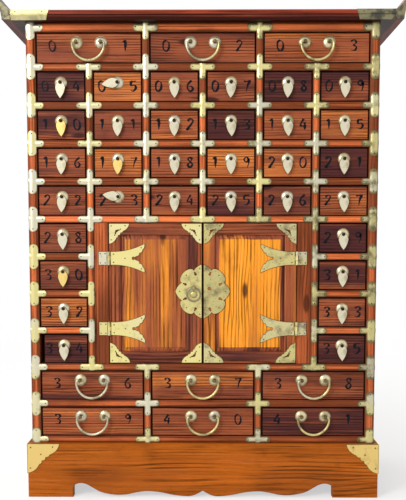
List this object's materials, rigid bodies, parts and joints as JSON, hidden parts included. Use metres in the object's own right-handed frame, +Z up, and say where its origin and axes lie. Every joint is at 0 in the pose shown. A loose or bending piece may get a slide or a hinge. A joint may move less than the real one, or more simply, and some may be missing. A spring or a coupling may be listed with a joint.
{
  "type": "medicine chest",
  "caption": "Free-standing wooden medicine chest with brass-bound grid of sliding drawers, hinged double-door cupboard, swinging drop handles, upturned top ends and scalloped footed base.",
  "frame": {"origin": "on the floor under the middle of the chest", "axes": "+Z up, front towards -Y, +X to the right as seen from the front"},
  "size_m": [0.74, 0.2814, 0.9157],
  "materials": {
    "frame_wood": "waxed orange-brown",
    "case_wood": "waxed brown",
    "drawer_wood": "waxed red-brown",
    "door_wood": "waxed red-brown",
    "top_wood": "waxed dark red-brown",
    "base_wood": "waxed brown",
    "brass": "worn satin"
  },
  "bodies": {
    "case": {"top_board": "top_wood", "case_boards": "case_wood", "front_frame": "frame_wood", "base_plinth": "base_wood", "brass_fittings": "brass"},
    "left_door": {"left_door": "door_wood", "left_door_brass": "brass"},
    "right_door": {"right_door": "door_wood", "right_door_brass": "brass"},
    "door_ring": {"door_ring": "brass"},
    "bail_row01_col1": {"bail_row01_col1": "brass"},
    "bail_row01_col2": {"bail_row01_col2": "brass"},
    "bail_row01_col3": {"bail_row01_col3": "brass"},
    "bail_row10_col1": {"bail_row10_col1": "brass"},
    "bail_row10_col2": {"bail_row10_col2": "brass"},
    "bail_row10_col3": {"bail_row10_col3": "brass"},
    "bail_row11_col1": {"bail_row11_col1": "brass"},
    "bail_row11_col2": {"bail_row11_col2": "brass"},
    "bail_row11_col3": {"bail_row11_col3": "brass"},
    "wide_drawer_row01_col1": {"wide_drawer_row01_col1": "drawer_wood"},
    "wide_drawer_row01_col2": {"wide_drawer_row01_col2": "drawer_wood"},
    "wide_drawer_row01_col3": {"wide_drawer_row01_col3": "drawer_wood"},
    "drawer_row02_col1": {"drawer_row02_col1": "drawer_wood"},
    "drawer_row02_col2": {"drawer_row02_col2": "drawer_wood"},
    "drawer_row02_col3": {"drawer_row02_col3": "drawer_wood"},
    "drawer_row02_col4": {"drawer_row02_col4": "drawer_wood"},
    "drawer_row02_col5": {"drawer_row02_col5": "drawer_wood"},
    "drawer_row02_col6": {"drawer_row02_col6": "drawer_wood"},
    "drawer_row03_col1": {"drawer_row03_col1": "drawer_wood"},
    "drawer_row03_col2": {"drawer_row03_col2": "drawer_wood"},
    "drawer_row03_col3": {"drawer_row03_col3": "drawer_wood"},
    "drawer_row03_col4": {"drawer_row03_col4": "drawer_wood"},
    "drawer_row03_col5": {"drawer_row03_col5": "drawer_wood"},
    "drawer_row03_col6": {"drawer_row03_col6": "drawer_wood"},
    "drawer_row04_col1": {"drawer_row04_col1": "drawer_wood"},
    "drawer_row04_col2": {"drawer_row04_col2": "drawer_wood"},
    "drawer_row04_col3": {"drawer_row04_col3": "drawer_wood"},
    "drawer_row04_col4": {"drawer_row04_col4": "drawer_wood"},
    "drawer_row04_col5": {"drawer_row04_col5": "drawer_wood"},
    "drawer_row04_col6": {"drawer_row04_col6": "drawer_wood"},
    "drawer_row05_col1": {"drawer_row05_col1": "drawer_wood"},
    "drawer_row05_col2": {"drawer_row05_col2": "drawer_wood"},
    "drawer_row05_col3": {"drawer_row05_col3": "drawer_wood"},
    "drawer_row05_col4": {"drawer_row05_col4": "drawer_wood"},
    "drawer_row05_col5": {"drawer_row05_col5": "drawer_wood"},
    "drawer_row05_col6": {"drawer_row05_col6": "drawer_wood"},
    "drawer_row06_col1": {"drawer_row06_col1": "drawer_wood"},
    "drawer_row06_col6": {"drawer_row06_col6": "drawer_wood"},
    "drawer_row07_col1": {"drawer_row07_col1": "drawer_wood"},
    "drawer_row07_col6": {"drawer_row07_col6": "drawer_wood"},
    "drawer_row08_col1": {"drawer_row08_col1": "drawer_wood"},
    "drawer_row08_col6": {"drawer_row08_col6": "drawer_wood"},
    "drawer_row09_col1": {"drawer_row09_col1": "drawer_wood"},
    "drawer_row09_col6": {"drawer_row09_col6": "drawer_wood"},
    "wide_drawer_row10_col1": {"wide_drawer_row10_col1": "drawer_wood"},
    "wide_drawer_row10_col2": {"wide_drawer_row10_col2": "drawer_wood"},
    "wide_drawer_row10_col3": {"wide_drawer_row10_col3": "drawer_wood"},
    "wide_drawer_row11_col1": {"wide_drawer_row11_col1": "drawer_wood"},
    "wide_drawer_row11_col2": {"wide_drawer_row11_col2": "drawer_wood"},
    "wide_drawer_row11_col3": {"wide_drawer_row11_col3": "drawer_wood"}
  },
  "joints": [
    {"name": "left_door_hinge", "type": "hinge", "parent": "case", "child": "left_door", "pos_m": [-0.17315, -0.12235, 0.38225], "axis": [0, 0, -1], "range_deg": [0, 92]},
    {"name": "right_door_hinge", "type": "hinge", "parent": "case", "child": "right_door", "pos_m": [0.17315, -0.12235, 0.38225], "axis": [0, 0, 1], "range_deg": [0, 92]},
    {"name": "ring_hinge", "type": "hinge", "parent": "left_door", "child": "door_ring", "pos_m": [-0.0166, -0.12615, 0.39315], "axis": [-1, 0, 0], "range_deg": [0, 90]},
    {"name": "bail_row01_col1_hinge", "type": "hinge", "parent": "wide_drawer_row01_col1", "child": "bail_row01_col1", "pos_m": [-0.206, -0.12635, 0.837], "axis": [-1, 0, 0], "range_deg": [0, 100]},
    {"name": "bail_row01_col2_hinge", "type": "hinge", "parent": "wide_drawer_row01_col2", "child": "bail_row01_col2", "pos_m": [0, -0.12635, 0.837], "axis": [-1, 0, 0], "range_deg": [0, 100]},
    {"name": "bail_row01_col3_hinge", "type": "hinge", "parent": "wide_drawer_row01_col3", "child": "bail_row01_col3", "pos_m": [0.206, -0.12635, 0.837], "axis": [-1, 0, 0], "range_deg": [0, 100]},
    {"name": "bail_row10_col1_hinge", "type": "hinge", "parent": "wide_drawer_row10_col1", "child": "bail_row10_col1", "pos_m": [-0.206, -0.12635, 0.2205], "axis": [-1, 0, 0], "range_deg": [0, 100]},
    {"name": "bail_row10_col2_hinge", "type": "hinge", "parent": "wide_drawer_row10_col2", "child": "bail_row10_col2", "pos_m": [0, -0.12635, 0.2205], "axis": [-1, 0, 0], "range_deg": [0, 100]},
    {"name": "bail_row10_col3_hinge", "type": "hinge", "parent": "wide_drawer_row10_col3", "child": "bail_row10_col3", "pos_m": [0.206, -0.12635, 0.2205], "axis": [-1, 0, 0], "range_deg": [0, 100]},
    {"name": "bail_row11_col1_hinge", "type": "hinge", "parent": "wide_drawer_row11_col1", "child": "bail_row11_col1", "pos_m": [-0.206, -0.12635, 0.152], "axis": [-1, 0, 0], "range_deg": [0, 100]},
    {"name": "bail_row11_col2_hinge", "type": "hinge", "parent": "wide_drawer_row11_col2", "child": "bail_row11_col2", "pos_m": [0, -0.12635, 0.152], "axis": [-1, 0, 0], "range_deg": [0, 100]},
    {"name": "bail_row11_col3_hinge", "type": "hinge", "parent": "wide_drawer_row11_col3", "child": "bail_row11_col3", "pos_m": [0.206, -0.12635, 0.152], "axis": [-1, 0, 0], "range_deg": [0, 100]},
    {"name": "wide_drawer_row01_col1_slide", "type": "slide", "parent": "case", "child": "wide_drawer_row01_col1", "axis": [0, -1, 0], "range_m": [0, 0.17]},
    {"name": "wide_drawer_row01_col2_slide", "type": "slide", "parent": "case", "child": "wide_drawer_row01_col2", "axis": [0, -1, 0], "range_m": [0, 0.17]},
    {"name": "wide_drawer_row01_col3_slide", "type": "slide", "parent": "case", "child": "wide_drawer_row01_col3", "axis": [0, -1, 0], "range_m": [0, 0.17]},
    {"name": "drawer_row02_col1_slide", "type": "slide", "parent": "case", "child": "drawer_row02_col1", "axis": [0, -1, 0], "range_m": [0, 0.17]},
    {"name": "drawer_row02_col2_slide", "type": "slide", "parent": "case", "child": "drawer_row02_col2", "axis": [0, -1, 0], "range_m": [0, 0.17]},
    {"name": "drawer_row02_col3_slide", "type": "slide", "parent": "case", "child": "drawer_row02_col3", "axis": [0, -1, 0], "range_m": [0, 0.17]},
    {"name": "drawer_row02_col4_slide", "type": "slide", "parent": "case", "child": "drawer_row02_col4", "axis": [0, -1, 0], "range_m": [0, 0.17]},
    {"name": "drawer_row02_col5_slide", "type": "slide", "parent": "case", "child": "drawer_row02_col5", "axis": [0, -1, 0], "range_m": [0, 0.17]},
    {"name": "drawer_row02_col6_slide", "type": "slide", "parent": "case", "child": "drawer_row02_col6", "axis": [0, -1, 0], "range_m": [0, 0.17]},
    {"name": "drawer_row03_col1_slide", "type": "slide", "parent": "case", "child": "drawer_row03_col1", "axis": [0, -1, 0], "range_m": [0, 0.17]},
    {"name": "drawer_row03_col2_slide", "type": "slide", "parent": "case", "child": "drawer_row03_col2", "axis": [0, -1, 0], "range_m": [0, 0.17]},
    {"name": "drawer_row03_col3_slide", "type": "slide", "parent": "case", "child": "drawer_row03_col3", "axis": [0, -1, 0], "range_m": [0, 0.17]},
    {"name": "drawer_row03_col4_slide", "type": "slide", "parent": "case", "child": "drawer_row03_col4", "axis": [0, -1, 0], "range_m": [0, 0.17]},
    {"name": "drawer_row03_col5_slide", "type": "slide", "parent": "case", "child": "drawer_row03_col5", "axis": [0, -1, 0], "range_m": [0, 0.17]},
    {"name": "drawer_row03_col6_slide", "type": "slide", "parent": "case", "child": "drawer_row03_col6", "axis": [0, -1, 0], "range_m": [0, 0.17]},
    {"name": "drawer_row04_col1_slide", "type": "slide", "parent": "case", "child": "drawer_row04_col1", "axis": [0, -1, 0], "range_m": [0, 0.17]},
    {"name": "drawer_row04_col2_slide", "type": "slide", "parent": "case", "child": "drawer_row04_col2", "axis": [0, -1, 0], "range_m": [0, 0.17]},
    {"name": "drawer_row04_col3_slide", "type": "slide", "parent": "case", "child": "drawer_row04_col3", "axis": [0, -1, 0], "range_m": [0, 0.17]},
    {"name": "drawer_row04_col4_slide", "type": "slide", "parent": "case", "child": "drawer_row04_col4", "axis": [0, -1, 0], "range_m": [0, 0.17]},
    {"name": "drawer_row04_col5_slide", "type": "slide", "parent": "case", "child": "drawer_row04_col5", "axis": [0, -1, 0], "range_m": [0, 0.17]},
    {"name": "drawer_row04_col6_slide", "type": "slide", "parent": "case", "child": "drawer_row04_col6", "axis": [0, -1, 0], "range_m": [0, 0.17]},
    {"name": "drawer_row05_col1_slide", "type": "slide", "parent": "case", "child": "drawer_row05_col1", "axis": [0, -1, 0], "range_m": [0, 0.17]},
    {"name": "drawer_row05_col2_slide", "type": "slide", "parent": "case", "child": "drawer_row05_col2", "axis": [0, -1, 0], "range_m": [0, 0.17]},
    {"name": "drawer_row05_col3_slide", "type": "slide", "parent": "case", "child": "drawer_row05_col3", "axis": [0, -1, 0], "range_m": [0, 0.17]},
    {"name": "drawer_row05_col4_slide", "type": "slide", "parent": "case", "child": "drawer_row05_col4", "axis": [0, -1, 0], "range_m": [0, 0.17]},
    {"name": "drawer_row05_col5_slide", "type": "slide", "parent": "case", "child": "drawer_row05_col5", "axis": [0, -1, 0], "range_m": [0, 0.17]},
    {"name": "drawer_row05_col6_slide", "type": "slide", "parent": "case", "child": "drawer_row05_col6", "axis": [0, -1, 0], "range_m": [0, 0.17]},
    {"name": "drawer_row06_col1_slide", "type": "slide", "parent": "case", "child": "drawer_row06_col1", "axis": [0, -1, 0], "range_m": [0, 0.17]},
    {"name": "drawer_row06_col6_slide", "type": "slide", "parent": "case", "child": "drawer_row06_col6", "axis": [0, -1, 0], "range_m": [0, 0.17]},
    {"name": "drawer_row07_col1_slide", "type": "slide", "parent": "case", "child": "drawer_row07_col1", "axis": [0, -1, 0], "range_m": [0, 0.17]},
    {"name": "drawer_row07_col6_slide", "type": "slide", "parent": "case", "child": "drawer_row07_col6", "axis": [0, -1, 0], "range_m": [0, 0.17]},
    {"name": "drawer_row08_col1_slide", "type": "slide", "parent": "case", "child": "drawer_row08_col1", "axis": [0, -1, 0], "range_m": [0, 0.17]},
    {"name": "drawer_row08_col6_slide", "type": "slide", "parent": "case", "child": "drawer_row08_col6", "axis": [0, -1, 0], "range_m": [0, 0.17]},
    {"name": "drawer_row09_col1_slide", "type": "slide", "parent": "case", "child": "drawer_row09_col1", "axis": [0, -1, 0], "range_m": [0, 0.17]},
    {"name": "drawer_row09_col6_slide", "type": "slide", "parent": "case", "child": "drawer_row09_col6", "axis": [0, -1, 0], "range_m": [0, 0.17]},
    {"name": "wide_drawer_row10_col1_slide", "type": "slide", "parent": "case", "child": "wide_drawer_row10_col1", "axis": [0, -1, 0], "range_m": [0, 0.17]},
    {"name": "wide_drawer_row10_col2_slide", "type": "slide", "parent": "case", "child": "wide_drawer_row10_col2", "axis": [0, -1, 0], "range_m": [0, 0.17]},
    {"name": "wide_drawer_row10_col3_slide", "type": "slide", "parent": "case", "child": "wide_drawer_row10_col3", "axis": [0, -1, 0], "range_m": [0, 0.17]},
    {"name": "wide_drawer_row11_col1_slide", "type": "slide", "parent": "case", "child": "wide_drawer_row11_col1", "axis": [0, -1, 0], "range_m": [0, 0.17]},
    {"name": "wide_drawer_row11_col2_slide", "type": "slide", "parent": "case", "child": "wide_drawer_row11_col2", "axis": [0, -1, 0], "range_m": [0, 0.17]},
    {"name": "wide_drawer_row11_col3_slide", "type": "slide", "parent": "case", "child": "wide_drawer_row11_col3", "axis": [0, -1, 0], "range_m": [0, 0.17]}
  ]
}
